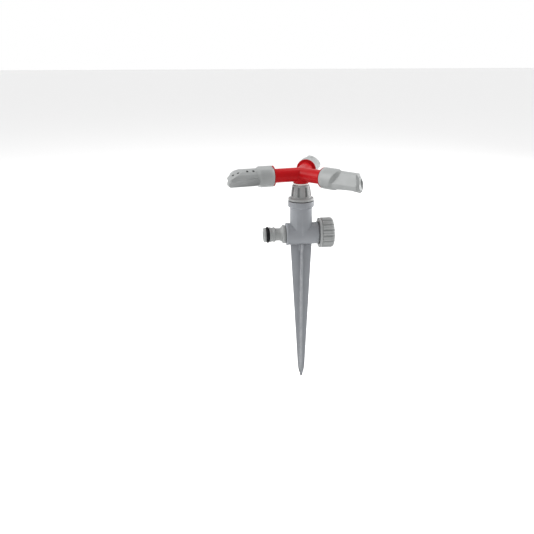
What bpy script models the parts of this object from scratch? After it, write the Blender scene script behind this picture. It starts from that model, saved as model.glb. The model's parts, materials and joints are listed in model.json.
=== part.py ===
"""Three-arm rotating lawn sprinkler on a ground spike.

Lengths are in millimetres here and become metres in place().  The origin is on
the rotor's vertical axis, at the underside of the water barrel, which is where
the soil comes up to.  +Z is up and the barrel runs along X, inlet at -X.
"""
import math

import bmesh
import bpy
from mathutils import Matrix, Vector

MM = 0.001
GAP = 0.3                      # clearance between pieces that touch
STEPS = 24                     # facets round a turned piece
FINE_STEPS = 32                # facets round the larger turned pieces

# Tee: barrel, riser and the ring round the riser's mouth
BARREL_R = 11.6
BARREL_Z = BARREL_R            # barrel axis; its underside is at z = 0
BARREL_LEFT = -16.1
BARREL_RIGHT = 17.3
BARREL_BORE_R = 6.2
RISER_R = 11.4
RING_R = 13.35
RING_LOW = 40.5
RING_TOP = 46.4
SEAL_SEAT_R = RING_R - 1.0     # recess in the ring for the head's seal
SEAL_SEAT_LOW = RING_TOP - 2.6
RISER_BORE_R = 7.0

# Coarse right-hand threads
PITCH = 2.5
THREAD_DEPTH = 1.0
CREST_WIDTH = 0.55
BASE_WIDTH = 1.25
THREAD_TURNS = 2.25

# Series outlet and its screw cap
STUB_R = 9.4
STUB_END = 29.4
STUB_THREAD_START = 20.6
CAP_LEFT = 18.3
CAP_RIGHT = 33.4
CAP_R = 15.75
CAP_RIM_R = 15.2
CAP_FLUTES = 16
FLUTE_DEPTH = 0.9
CAP_CEILING = 31.4             # inner face of the cap's end wall

# Quick-connect inlet nipple
NIPPLE_TIP = -39.6
NIPPLE_BORE_R = 4.2
NIPPLE_TIP_R = 7.4
COLLAR_R = 7.8
NECK_R = 6.55
NIPPLE_FLANGE_R = 9.6
SOCKET_R = 8.6                 # counterbore in the barrel for the nipple's spigot
SOCKET_DEPTH = 8.7
COLLAR_END = -28.0
NECK_END = -22.2
FLARE_END = -20.3
NIPPLE_O_RING_X = -35.0
NIPPLE_O_RING_R = 6.87         # to the middle of its cord
NIPPLE_CORD_R = 1.5

# Ground spike
SPIKE_TIP = -152.5
SPIKE_SHOULDER = -137.5        # where the point begins
SPIKE_TOP_HALF = 11.1
SPIKE_LOW_HALF = 3.7
SIDE_RIB_TOP_HALF = 6.6
RIB_THICK = 2.4
PLUG_R = 3.4
PLUG_TOP = 3.5

# Bearing housing: flange, fluted cone and threaded spigot
FLANGE_R = 13.0
FLANGE_LOW = 47.1
FLANGE_TOP = 49.7
CONE_LOW_R = 10.35
CONE_TOP_R = 8.6
CONE_TOP = 63.1
SPIGOT_R = 8.5
SPIGOT_LOW = 34.4
HEAD_THREAD_START = 36.3
BEARING_R = 5.6
CHAMBER_R = 7.4
CHAMBER_TOP = 45.1
SLOT_COUNT = 8
SLOT_WIDTH = 2.8
SLOT_LOW = 51.5
SLOT_TOP = 61.7
SLOT_DEPTH = 2.0

# Rotor: hub, three arms and the hollow spindle
HUB_Z = 73.5
ARM_ANGLES = {"left": 190.0, "right": 310.0, "rear": 70.0}
TUBE_R = 7.0
TUBE_BORE_R = 4.6
CHAMBER_BALL_R = 5.3           # where the three bores meet
HUB_BOSS_R = 8.05
HUB_BOSS_LOW = 64.9
ARM_FLANGE_IN = 29.2
ARM_FLANGE_OUT = 30.1
ARM_FLANGE_R = 10.3
NOZZLE_SPIGOT_R = 7.5
SPIGOT_END = 40.6
SPIGOT_BEAD = 0.8
GROOVE_R = 6.0
GROOVE_LOW = 32.6
GROOVE_HIGH = 35.0
NOZZLE_CORD_R = 0.75
SPINDLE_R = 5.2
SPINDLE_BORE_R = 3.0
SPINDLE_LOW = 36.1
SPINDLE_TOP = 67.7
SNAP_R = 6.6
FINGER_SLOTS = 3               # through slots, which leave six snap fingers

# Spray nozzle, along its arm (u), sideways (v) and up (w)
NOZZLE_IN = 30.4
NOZZLE_END = 76.5
NOZZLE_COLLAR_R = 10.5
NOZZLE_BORE_R = 8.1
SHOULDER_START = 44.0
SHOULDER_LENGTH = 3.0
SLOPE_START = 60.5             # where the top starts to fall towards the tip
SLOPE_TOP = 9.2
SLOPE = 0.5
TIP_START = 73.6
END_SKEW = 3.2                 # how much shorter the nozzle is on its far side
END_SKEW_START = 66.0
JET_R = 0.9
JET_ANGLE = 55.0
JET_PLACES = (50.4, 56.6, 64.8, 70.4)
NOZZLE_SWIVEL = {"left": 0.0, "right": -80.0, "rear": 45.0}
NOZZLE_OUTLINE = (
    (-3.0, 8.4), (1.5, 8.6), (5.5, 6.8), (8.2, 3.9), (9.0, 1.6), (8.9, -2.6),
    (7.7, -6.9), (4.5, -8.2), (1.0, -8.7), (-9.0, -1.9), (-8.9, 2.6), (-6.6, 6.4),
)
PANEL_ANGLE = 237.0            # which way the flat panel of the outline faces
PANEL_SET_BACK = 2.0
PANEL_SLANT = 5.5              # lean of the panel's shoulder along the arm
SCOOP_R = 5.0
SCOOP_AXIS = (10.3, -2.6)
SCOOP_START = 45.0
SCOOP_DIP = 9.0                # degrees that the scoop leans down towards the tip

# Looks: colour, roughness, metallic
LIGHT_GREY = ((0.42, 0.44, 0.45), 0.45, 0.0)
BODY_GREY = ((0.33, 0.35, 0.38), 0.5, 0.0)
RED = ((0.62, 0.01, 0.03), 0.3, 0.0)
BLACK_RUBBER = ((0.012, 0.012, 0.014), 0.6, 0.0)
WHITE_SLIP = ((0.75, 0.75, 0.72), 0.4, 0.0)

ALONG_X = Matrix.Translation((0, 0, BARREL_Z)) @ Matrix.Rotation(math.radians(90), 4, "Y")


def clear_scene():
    for thing in list(bpy.data.objects):
        bpy.data.objects.remove(thing, do_unlink=True)


def material(name, look):
    colour, roughness, metallic = look
    made = bpy.data.materials.get(name) or bpy.data.materials.new(name)
    made.use_nodes = True
    shader = made.node_tree.nodes["Principled BSDF"]
    shader.inputs["Base Color"].default_value = (*colour, 1.0)
    shader.inputs["Roughness"].default_value = roughness
    shader.inputs["Metallic"].default_value = metallic
    return made


def place(name, form, look=BODY_GREY, matrix=None, origin=None):
    """Turn a bmesh in millimetres into an object, with its origin on its joint's axis."""
    if matrix is not None:
        bmesh.ops.transform(form, matrix=matrix, verts=form.verts)
    spot = Vector(origin) if origin is not None else Vector((0, 0, 0))
    bmesh.ops.translate(form, vec=-spot, verts=form.verts)
    bmesh.ops.scale(form, vec=(MM, MM, MM), verts=form.verts)
    bmesh.ops.recalc_face_normals(form, faces=form.faces)
    mesh = bpy.data.meshes.new(name)
    form.to_mesh(mesh)
    form.free()
    thing = bpy.data.objects.new(name, mesh)
    thing.location = spot * MM
    bpy.context.scene.collection.objects.link(thing)
    mesh.materials.append(material(f"{name}_material", look))
    return thing


def finish_shading(thing, angle=35):
    thing.data.shade_smooth()
    thing.data.set_sharp_from_angle(angle=math.radians(angle))


def turned(profile, steps=STEPS):
    """Spin a profile of (radius, height) points round Z.

    The profile is a closed loop, or, if both its ends are on the axis, an open line.
    """
    form = bmesh.new()
    verts = [form.verts.new((radius, 0, height)) for radius, height in profile]
    pairs = list(zip(verts, verts[1:]))
    if profile[0][0] > 0 or profile[-1][0] > 0:
        pairs.append((verts[-1], verts[0]))
    edges = [form.edges.new(pair) for pair in pairs]
    bmesh.ops.spin(form, geom=verts + edges, axis=(0, 0, 1), cent=(0, 0, 0),
                   angle=math.tau, steps=steps, use_merge=True)
    bmesh.ops.remove_doubles(form, verts=form.verts, dist=1e-4)
    bmesh.ops.recalc_face_normals(form, faces=form.faces)
    return form


def lofted(rings):
    """Skin a row of equal closed rings and cap its two ends."""
    form = bmesh.new()
    rows = [[form.verts.new(point) for point in ring] for ring in rings]
    count = len(rows[0])
    for low, high in zip(rows, rows[1:]):
        for i in range(count):
            j = (i + 1) % count
            form.faces.new((low[i], low[j], high[j], high[i]))
    form.faces.new(rows[0])
    form.faces.new(rows[-1])
    bmesh.ops.recalc_face_normals(form, faces=form.faces)
    return form


def cylinder(radius, low, high, steps=STEPS):
    return turned([(0, low), (radius, low), (radius, high), (0, high)], steps)


def combine(thing, tool_form, operation, matrix=None):
    """Join a form to an object, or cut it away, and keep the result."""
    tool = place("tool", tool_form, matrix=matrix)
    change = thing.modifiers.new("change", "BOOLEAN")
    change.operation = operation
    change.solver = "EXACT"
    change.object = tool
    # The object is worked on while it still stands at the origin.
    bpy.context.view_layer.update()
    graph = bpy.context.evaluated_depsgraph_get()
    result = bpy.data.meshes.new_from_object(thing.evaluated_get(graph))
    thing.modifiers.remove(change)
    old = thing.data
    thing.data = result
    result.name = thing.name
    keep = old.materials[0]
    result.materials.clear()
    result.materials.append(keep)
    bpy.data.meshes.remove(old)
    bpy.data.objects.remove(tool, do_unlink=True)


def cut(thing, form, matrix=None):
    combine(thing, form, "DIFFERENCE", matrix)


def join(thing, form, matrix=None):
    combine(thing, form, "UNION", matrix)


def move_origin(thing, spot):
    """Put an object's origin on its joint's axis and leave its surface where it is."""
    offset = Vector(spot) * MM
    thing.data.transform(Matrix.Translation(-offset))
    thing.location = offset


def thread(root_r, start, outward=True):
    """One helical ridge round Z.  It stands on root_r, outward or inward."""
    side = 1 if outward else -1
    sink = 0.5
    total = int(STEPS * THREAD_TURNS)
    rings = []
    for i in range(total + 1):
        angle = math.tau * i / STEPS
        height = start + PITCH * i / STEPS
        fade = min(1.0, i / 4, (total - i) / 4)
        crest_r = root_r + side * (THREAD_DEPTH * fade - 0.15 * (1 - fade))
        base_r = root_r - side * sink
        section = (
            (base_r, -BASE_WIDTH / 2), (crest_r, -CREST_WIDTH / 2),
            (crest_r, CREST_WIDTH / 2), (base_r, BASE_WIDTH / 2),
        )
        rings.append([
            (radius * math.cos(angle), radius * math.sin(angle), height + lift)
            for radius, lift in section
        ])
    return lofted(rings)


def o_ring(centre_r, cord_r, height, corners=8):
    profile = [
        (centre_r + cord_r * math.cos(math.tau * i / corners),
         height + cord_r * math.sin(math.tau * i / corners))
        for i in range(corners)
    ]
    return turned(profile)


def washer(inner_r, outer_r, low, high):
    return turned([(inner_r, low), (outer_r, low), (outer_r, high), (inner_r, high)])


def tee_body():
    barrel = turned([
        (0, BARREL_LEFT), (BARREL_R - 0.6, BARREL_LEFT), (BARREL_R, BARREL_LEFT + 0.6),
        (BARREL_R, BARREL_RIGHT), (STUB_R, BARREL_RIGHT), (STUB_R, STUB_END - 0.6),
        (STUB_R - 0.6, STUB_END), (0, STUB_END),
    ], FINE_STEPS)
    tee = place("tee_body", barrel, BODY_GREY, ALONG_X)
    riser = turned([
        (0, BARREL_Z), (RISER_R, BARREL_Z), (RISER_R, RING_LOW - 1.2),
        (RING_R - 0.8, RING_LOW), (RING_R, RING_LOW + 0.9), (RING_R, RING_TOP - 0.6),
        (RING_R - 0.6, RING_TOP), (0, RING_TOP),
    ], FINE_STEPS)
    join(tee, riser, Matrix.Rotation(math.radians(3), 4, "Z"))
    join(tee, thread(STUB_R, STUB_THREAD_START), ALONG_X)
    waterway = turned([
        (0, BARREL_LEFT - 5), (SOCKET_R, BARREL_LEFT - 5),
        (SOCKET_R, BARREL_LEFT + SOCKET_DEPTH), (BARREL_BORE_R, BARREL_LEFT + SOCKET_DEPTH),
        (BARREL_BORE_R, STUB_END + 5), (0, STUB_END + 5),
    ])
    cut(tee, waterway, ALONG_X @ Matrix.Rotation(math.radians(4), 4, "Z"))
    female_r = SPIGOT_R + THREAD_DEPTH + GAP
    cut(tee, turned([
        (0, BARREL_Z - 1.3), (RISER_BORE_R, BARREL_Z - 1.3), (RISER_BORE_R, SPIGOT_LOW - 2.5),
        (female_r, SPIGOT_LOW - 1.5), (female_r, SEAL_SEAT_LOW),
        (SEAL_SEAT_R, SEAL_SEAT_LOW), (SEAL_SEAT_R, RING_TOP + 5), (0, RING_TOP + 5),
    ]), Matrix.Rotation(math.radians(5), 4, "Z"))
    join(tee, thread(female_r, HEAD_THREAD_START + PITCH / 2, outward=False))
    cut(tee, cylinder(PLUG_R + GAP, -5, PLUG_TOP + GAP, 24))
    finish_shading(tee)


def spike_rib(top_half, low_half):
    """Half-widths of a rib from its top down to the point, as (height, half-width)."""
    rows = [(6.0, top_half), (0.0, top_half), (SPIKE_SHOULDER, low_half)]
    point_steps = 5
    for i in range(1, point_steps + 1):
        part = i / point_steps
        height = SPIKE_SHOULDER + (SPIKE_TIP - SPIKE_SHOULDER) * part
        rows.append((height, 0.5 + (low_half - 0.5) * (1 - part ** 1.8)))
    outline = [(half, height) for height, half in rows]
    outline += [(-half, height) for height, half in reversed(rows)]
    rings = [
        [(across, side * RIB_THICK / 2, height) for across, height in outline]
        for side in (-1, 1)
    ]
    return lofted(rings)


def ground_spike():
    spike = place("ground_spike", spike_rib(SPIKE_TOP_HALF, SPIKE_LOW_HALF), BODY_GREY)
    join(spike, spike_rib(SIDE_RIB_TOP_HALF, SPIKE_LOW_HALF - 0.1),
         Matrix.Rotation(math.radians(90), 4, "Z"))
    cut(spike, cylinder(BARREL_R + GAP, -30, 30, FINE_STEPS * 2), ALONG_X)
    join(spike, turned([
        (0, -8), (PLUG_R, -6), (PLUG_R, PLUG_TOP - 0.5), (PLUG_R - 0.5, PLUG_TOP), (0, PLUG_TOP),
    ], 24))
    finish_shading(spike)


def inlet_nipple():
    seat = BARREL_LEFT - GAP
    spigot_end = BARREL_LEFT + SOCKET_DEPTH - 2.2
    half = NIPPLE_CORD_R + GAP
    floor_r = NIPPLE_TIP_R - 2.3
    waist_r = COLLAR_R - 0.5
    groove_start = NIPPLE_O_RING_X - half
    collar_start = NIPPLE_O_RING_X + half
    nipple = turned([
        (NIPPLE_BORE_R, NIPPLE_TIP), (NIPPLE_TIP_R - 1.0, NIPPLE_TIP),
        (NIPPLE_TIP_R - 0.3, NIPPLE_TIP + 0.4), (NIPPLE_TIP_R, NIPPLE_TIP + 1.1),
        (NIPPLE_TIP_R, groove_start), (floor_r, groove_start),
        (floor_r, collar_start), (COLLAR_R, collar_start),
        (COLLAR_R, collar_start + 1.3), (waist_r, collar_start + 1.6),
        (waist_r, COLLAR_END - 1.5), (COLLAR_R, COLLAR_END - 1.2),
        (COLLAR_R, COLLAR_END), (NECK_R, COLLAR_END + 1.0), (NECK_R, NECK_END),
        (NIPPLE_FLANGE_R - 1.6, FLARE_END), (NIPPLE_FLANGE_R, FLARE_END + 0.7),
        (NIPPLE_FLANGE_R, seat - 0.8), (NIPPLE_FLANGE_R - 0.6, seat),
        (SOCKET_R - GAP, seat), (SOCKET_R - GAP, spigot_end), (NIPPLE_BORE_R, spigot_end),
    ], FINE_STEPS)
    thing = place("inlet_nipple", nipple, LIGHT_GREY, ALONG_X)
    finish_shading(thing)
    seal = place("nipple_o_ring", o_ring(NIPPLE_O_RING_R, NIPPLE_CORD_R, NIPPLE_O_RING_X),
                 BLACK_RUBBER, ALONG_X)
    finish_shading(seal)
    gasket_low = spigot_end + GAP
    gasket_high = BARREL_LEFT + SOCKET_DEPTH - GAP
    gasket = place("nipple_gasket", washer(NIPPLE_BORE_R + 0.4, SOCKET_R - GAP,
                                           gasket_low, gasket_high), BLACK_RUBBER, ALONG_X)
    finish_shading(gasket)


def cap_ring(radius, x, depth):
    """A ring of the cap's outer surface, with flutes of the given depth."""
    points = []
    per_flute = 4
    for i in range(CAP_FLUTES * per_flute):
        angle = math.tau * (i + 0.5) / (CAP_FLUTES * per_flute)
        r = radius - (depth if i % per_flute in (0, 3) else 0)
        points.append((r * math.cos(angle), r * math.sin(angle), x))
    return points


def outlet_cap():
    cap_axis = (0, 0, BARREL_Z)
    shell = lofted([
        cap_ring(CAP_RIM_R, CAP_LEFT, 0), cap_ring(CAP_R - 0.2, CAP_LEFT + 0.5, 0),
        cap_ring(CAP_R - 0.2, CAP_LEFT + 2.2, 0),
        cap_ring(CAP_R, CAP_LEFT + 2.6, FLUTE_DEPTH),
        cap_ring(CAP_R, CAP_RIGHT - 1.8, FLUTE_DEPTH),
        cap_ring(CAP_R - 0.6, CAP_RIGHT - 0.6, FLUTE_DEPTH / 2),
        cap_ring(CAP_R - 1.9, CAP_RIGHT, 0),
    ])
    cap = place("outlet_cap", shell, LIGHT_GREY, ALONG_X)
    female_r = STUB_R + THREAD_DEPTH + GAP
    cut(cap, cylinder(female_r, CAP_LEFT - 5, CAP_CEILING), ALONG_X)
    join(cap, thread(female_r, STUB_THREAD_START + PITCH / 2, outward=False), ALONG_X)
    move_origin(cap, cap_axis)
    finish_shading(cap)
    gasket = place("outlet_gasket", washer(BARREL_BORE_R - 2, STUB_R, STUB_END + GAP,
                                           CAP_CEILING - GAP), BLACK_RUBBER, ALONG_X,
                   origin=cap_axis)
    finish_shading(gasket)


def slot_cutter():
    """A stadium-shaped prism lying along X, from inside the cone's wall to outside it."""
    radius = SLOT_WIDTH / 2
    half = (SLOT_TOP - SLOT_LOW) / 2 - radius
    outline = []
    turns = 6
    for end in (1, -1):
        for i in range(turns + 1):
            angle = math.pi * i / turns + (0 if end > 0 else math.pi)
            outline.append((radius * math.cos(angle), end * half + radius * math.sin(angle)))
    rings = [[(x, y, z) for y, z in outline] for x in (-SLOT_DEPTH, 6.0)]
    return lofted(rings)


def bearing_housing():
    cone_height = CONE_TOP - FLANGE_TOP
    bulge = 0.35
    cone = []
    rows = 4
    for i in range(rows + 1):
        part = i / rows
        radius = CONE_LOW_R + (CONE_TOP_R - CONE_LOW_R) * part
        cone.append((radius + bulge * math.sin(math.pi * part), FLANGE_TOP + cone_height * part))
    cone[-1] = (CONE_TOP_R - 0.4, CONE_TOP)
    cone.insert(-1, (CONE_TOP_R, CONE_TOP - 0.4))
    profile = [
        (CHAMBER_R, SPIGOT_LOW), (SPIGOT_R, SPIGOT_LOW), (SPIGOT_R, FLANGE_LOW - 3.2),
        (SPIGOT_R + 0.6, FLANGE_LOW - 2.6), (SPIGOT_R + 0.6, FLANGE_LOW),
        (FLANGE_R - 0.4, FLANGE_LOW), (FLANGE_R, FLANGE_LOW + 0.4),
        (FLANGE_R, FLANGE_TOP - 0.6), (FLANGE_R - 0.8, FLANGE_TOP),
    ]
    profile += cone
    profile += [(BEARING_R, CONE_TOP), (BEARING_R, CHAMBER_TOP), (CHAMBER_R, CHAMBER_TOP)]
    housing = place("bearing_housing", turned(profile, FINE_STEPS), LIGHT_GREY)
    lean = math.atan2(CONE_LOW_R - CONE_TOP_R, cone_height)
    middle = (SLOT_LOW + SLOT_TOP) / 2
    wall_r = CONE_LOW_R + (CONE_TOP_R - CONE_LOW_R) * (middle - FLANGE_TOP) / cone_height
    for i in range(SLOT_COUNT):
        turn = math.radians(360 / SLOT_COUNT * (i + 0.5))
        seat = (Matrix.Rotation(turn, 4, "Z") @ Matrix.Translation((wall_r + bulge, 0, middle))
                @ Matrix.Rotation(-lean, 4, "Y"))
        cut(housing, slot_cutter(), seat)
    join(housing, thread(SPIGOT_R, HEAD_THREAD_START))
    finish_shading(housing)
    seal_r = (SPIGOT_R + 0.6 + SEAL_SEAT_R) / 2
    cord_r = (SEAL_SEAT_R - SPIGOT_R - 0.6) / 2 - GAP
    seal = place("housing_o_ring", o_ring(seal_r, cord_r, FLANGE_LOW - GAP - cord_r),
                 BLACK_RUBBER)
    finish_shading(seal)


def bearing_parts():
    upper = place("upper_thrust_washer", washer(SPINDLE_R + GAP, HUB_BOSS_R - 0.3,
                                                CONE_TOP + GAP, HUB_BOSS_LOW - GAP), WHITE_SLIP)
    finish_shading(upper)
    seal_high = CHAMBER_TOP - GAP
    seal_low = seal_high - 2.4
    seal = place("spindle_seal", turned([
        (SPINDLE_R + GAP, seal_low), (SPINDLE_R + 0.9, seal_low), (SPINDLE_R + 1.1, seal_low + 1.2),
        (CHAMBER_R - 0.7, seal_low + 1.2), (CHAMBER_R - 0.6, seal_low),
        (CHAMBER_R - GAP, seal_low), (CHAMBER_R - GAP, seal_high), (SPINDLE_R + GAP, seal_high),
    ]), BLACK_RUBBER)
    finish_shading(seal)
    washer_high = seal_low - GAP
    lower = place("lower_thrust_washer", washer(SPINDLE_R + GAP, CHAMBER_R - GAP,
                                                washer_high - 1.2, washer_high), WHITE_SLIP)
    finish_shading(lower)
    bead_high = washer_high - 1.2 - GAP
    spindle = place("rotor_spindle", turned([
        (SPINDLE_BORE_R, SPINDLE_LOW), (SPINDLE_R - 0.2, SPINDLE_LOW),
        (SNAP_R, bead_high - 1.4), (SNAP_R, bead_high), (SPINDLE_R, bead_high),
        (SPINDLE_R, SPINDLE_TOP), (SPINDLE_BORE_R, SPINDLE_TOP),
    ]), RED)
    slot_high = bead_high + 4.5
    for i in range(FINGER_SLOTS):
        slot = bmesh.new()
        bmesh.ops.create_cube(slot, size=1.0)
        bmesh.ops.scale(slot, vec=(1.1, 30, slot_high - SPINDLE_LOW + 5), verts=slot.verts)
        lift = (slot_high + SPINDLE_LOW - 5) / 2
        cut(spindle, slot, Matrix.Rotation(math.pi * (i + 0.5) / FINGER_SLOTS, 4, "Z")
            @ Matrix.Translation((0, 0, lift)))
    finish_shading(spindle)


def arm_matrix(angle):
    """From a form that is turned round Z to one that lies along an arm."""
    return (Matrix.Translation((0, 0, HUB_Z)) @ Matrix.Rotation(math.radians(angle), 4, "Z")
            @ Matrix.Rotation(math.radians(90), 4, "Y"))


def arm_form():
    bead_r = NOZZLE_SPIGOT_R + SPIGOT_BEAD
    return turned([
        (0, -3), (TUBE_R - 2.0, -3), (TUBE_R, 0), (TUBE_R, ARM_FLANGE_IN - 0.5),
        (TUBE_R + 0.6, ARM_FLANGE_IN), (ARM_FLANGE_R - 0.3, ARM_FLANGE_IN),
        (ARM_FLANGE_R, ARM_FLANGE_IN + 0.3), (ARM_FLANGE_R, ARM_FLANGE_OUT),
        (NOZZLE_SPIGOT_R, ARM_FLANGE_OUT), (NOZZLE_SPIGOT_R, GROOVE_LOW),
        (GROOVE_R, GROOVE_LOW), (GROOVE_R, GROOVE_HIGH), (NOZZLE_SPIGOT_R, GROOVE_HIGH),
        (NOZZLE_SPIGOT_R, SPIGOT_END - 2.6), (bead_r, SPIGOT_END - 2.0),
        (bead_r, SPIGOT_END - 1.2), (NOZZLE_SPIGOT_R - 0.4, SPIGOT_END),
        (0, SPIGOT_END),
    ])


def rotor_arms():
    boss = turned([
        (0, HUB_BOSS_LOW), (HUB_BOSS_R - 0.3, HUB_BOSS_LOW), (HUB_BOSS_R, HUB_BOSS_LOW + 0.3),
        (HUB_BOSS_R, HUB_Z - 3), (TUBE_R - 1.2, HUB_Z + 3.5), (0, HUB_Z + 5),
    ])
    rotor = place("rotor_arms", boss, RED)
    # A twist of a part of a facet keeps the three tubes' upper edges from coinciding.
    for i, angle in enumerate(ARM_ANGLES.values()):
        twist = Matrix.Rotation(math.radians(2.0 + 1.5 * i), 4, "Z")
        join(rotor, arm_form(), arm_matrix(angle) @ twist)
    chamber = bmesh.new()
    bmesh.ops.create_uvsphere(chamber, u_segments=20, v_segments=11, radius=CHAMBER_BALL_R)
    cut(rotor, chamber, Matrix.Translation((0, 0, HUB_Z)))
    for angle in ARM_ANGLES.values():
        cut(rotor, cylinder(TUBE_BORE_R, 2.0, SPIGOT_END + 5, 24), arm_matrix(angle))
    cut(rotor, turned([
        (0, HUB_BOSS_LOW - 5), (SPINDLE_R + GAP, HUB_BOSS_LOW - 5),
        (SPINDLE_R + GAP, SPINDLE_TOP + GAP), (SPINDLE_BORE_R, SPINDLE_TOP + GAP),
        (SPINDLE_BORE_R, HUB_Z - 1), (0, HUB_Z - 1),
    ], 26))
    finish_shading(rotor)


def ray_length(angle):
    """Distance from the arm's axis to the nozzle's outline, at an angle up from v."""
    along = Vector((math.cos(angle), math.sin(angle)))
    count = len(NOZZLE_OUTLINE)
    for i in range(count):
        a = Vector(NOZZLE_OUTLINE[i])
        b = Vector(NOZZLE_OUTLINE[(i + 1) % count])
        edge = b - a
        cross = along.x * edge.y - along.y * edge.x
        if abs(cross) < 1e-9:
            continue
        reach = (a.x * edge.y - a.y * edge.x) / cross
        part = (a.x * along.y - a.y * along.x) / cross
        if reach > 0 and -1e-6 <= part <= 1 + 1e-6:
            return reach
    return NOZZLE_COLLAR_R


def ease(value):
    value = min(1.0, max(0.0, value))
    return value * value * (3 - 2 * value)


def shoulder(angle):
    """Where along the arm the round collar starts to give way to the outline, at an angle."""
    away = angle - math.radians(PANEL_ANGLE)
    share = ease(1.6 * math.cos(away))
    return SHOULDER_START + share * (PANEL_SET_BACK - PANEL_SLANT * math.sin(away))


def nozzle_ring(u, samples):
    """One ring of the nozzle's outer surface, as (v, w, u) points."""
    ring = []
    tip = ease((u - TIP_START) / (NOZZLE_END - TIP_START) * 0.8)
    top = SLOPE_TOP - SLOPE * max(0.0, u - SLOPE_START)
    for i in range(samples):
        angle = math.tau * i / samples
        part = min(1.0, max(0.0, (u - shoulder(angle)) / SHOULDER_LENGTH))
        reach = NOZZLE_COLLAR_R + (ray_length(angle) - NOZZLE_COLLAR_R) * part
        v = reach * math.cos(angle)
        w = reach * math.sin(angle)
        over = 0.2 * v + 0.98 * w - top
        if over > 0:
            w -= over / 0.98
        v *= 1 - 0.42 * tip
        w = (w + 2.0) * (1 - 0.42 * tip) - 2.0
        back = END_SKEW * ease((u - END_SKEW_START) / 10) * ease(-v / 8)
        ring.append((v, w, u - back))
    return ring


def nozzle_form(samples=36):
    first = SHOULDER_START - PANEL_SET_BACK
    stations = [NOZZLE_IN] + [first + 1.4 * i for i in range(9)]
    stations += [SLOPE_START, 65.5, 69.0, 72.0, TIP_START, 74.8, 75.8, NOZZLE_END]
    return lofted([nozzle_ring(u, samples) for u in stations])


def scoop_cutter():
    """A round-ended rod that hollows the nozzle's flank from its shoulder to its tip."""
    rounding = [
        (SCOOP_R * math.sin(math.radians(turn)), SCOOP_R * (1 - math.cos(math.radians(turn))))
        for turn in (0, 30, 60, 90)
    ]
    return turned(rounding + [(SCOOP_R, NOZZLE_END), (0, NOZZLE_END)], 16)


def scoop_matrix():
    across, up = SCOOP_AXIS
    return (Matrix.Translation((across, up, SCOOP_START))
            @ Matrix.Rotation(math.radians(SCOOP_DIP), 4, "X"))


def nozzle_cavity():
    """Socket for the arm's spigot, with its snap groove, and the water channel."""
    groove_r = NOZZLE_SPIGOT_R + SPIGOT_BEAD + GAP
    groove_low = SPIGOT_END - 3.0
    return turned([
        (0, NOZZLE_IN - 5), (NOZZLE_BORE_R, NOZZLE_IN - 5), (NOZZLE_BORE_R, groove_low - 0.5),
        (groove_r, groove_low), (groove_r, SPIGOT_END + 0.4), (NOZZLE_BORE_R - 3.5, 44.0),
        (3.4, 60.0), (1.8, 71.0), (0, 71.5),
    ], 20)


def jet_matrix(place_u):
    """Where a jet's drill starts, at the axis, and which way it points."""
    lean = math.radians(12 + 38 * ease((place_u - 56) / 16))
    up = Matrix.Rotation(math.radians(JET_ANGLE), 4, "Z")
    tilt = Matrix.Rotation(math.radians(90) - lean, 4, "Y")
    start = place_u - 8.0 * math.sin(lean) * 0.75
    return Matrix.Translation((0, 0, start)) @ up @ tilt


def nozzle(side):
    """One nozzle, modelled along Z and then laid along its arm at its swivel angle."""
    name = f"nozzle_{side}"
    thing = place(name, nozzle_form(), LIGHT_GREY)
    cut(thing, scoop_cutter(), scoop_matrix())
    cut(thing, nozzle_cavity())
    for spot in JET_PLACES:
        cut(thing, cylinder(JET_R, 0.5, 20, 6), jet_matrix(spot))
    # (v, w, u) is turned so that u lies along the arm, v sideways and w up.
    lay = Matrix(((0, 0, 1, 0), (1, 0, 0, 0), (0, 1, 0, 0), (0, 0, 0, 1)))
    swivel = Matrix.Rotation(math.radians(NOZZLE_SWIVEL[side]), 4, "X")
    turn = Matrix.Rotation(math.radians(ARM_ANGLES[side]), 4, "Z")
    thing.data.transform(turn @ swivel @ lay)
    thing.location = (0, 0, HUB_Z * MM)
    finish_shading(thing, 28)
    cord_place = (GROOVE_LOW + GROOVE_HIGH) / 2
    ring = o_ring(GROOVE_R + GAP + NOZZLE_CORD_R, NOZZLE_CORD_R, cord_place, 6)
    seal = place(f"nozzle_o_ring_{side}", ring, BLACK_RUBBER,
                 arm_matrix(ARM_ANGLES[side]), origin=(0, 0, HUB_Z))
    finish_shading(seal)


def build():
    clear_scene()
    tee_body()
    ground_spike()
    inlet_nipple()
    outlet_cap()
    bearing_housing()
    bearing_parts()
    rotor_arms()
    for side in ARM_ANGLES:
        nozzle(side)


build()
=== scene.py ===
"""Looks of a three-arm lawn sprinkler on a ground spike.

The outer pieces are modelled again here as fine meshes with rounded edges, where the
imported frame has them.  The seals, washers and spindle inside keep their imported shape.
All of them get procedural materials.  Lengths are in millimetres and become metres in
place().
"""
import json
import math

import bmesh
import bpy
import numpy as np
from mathutils import Matrix, Vector


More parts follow.
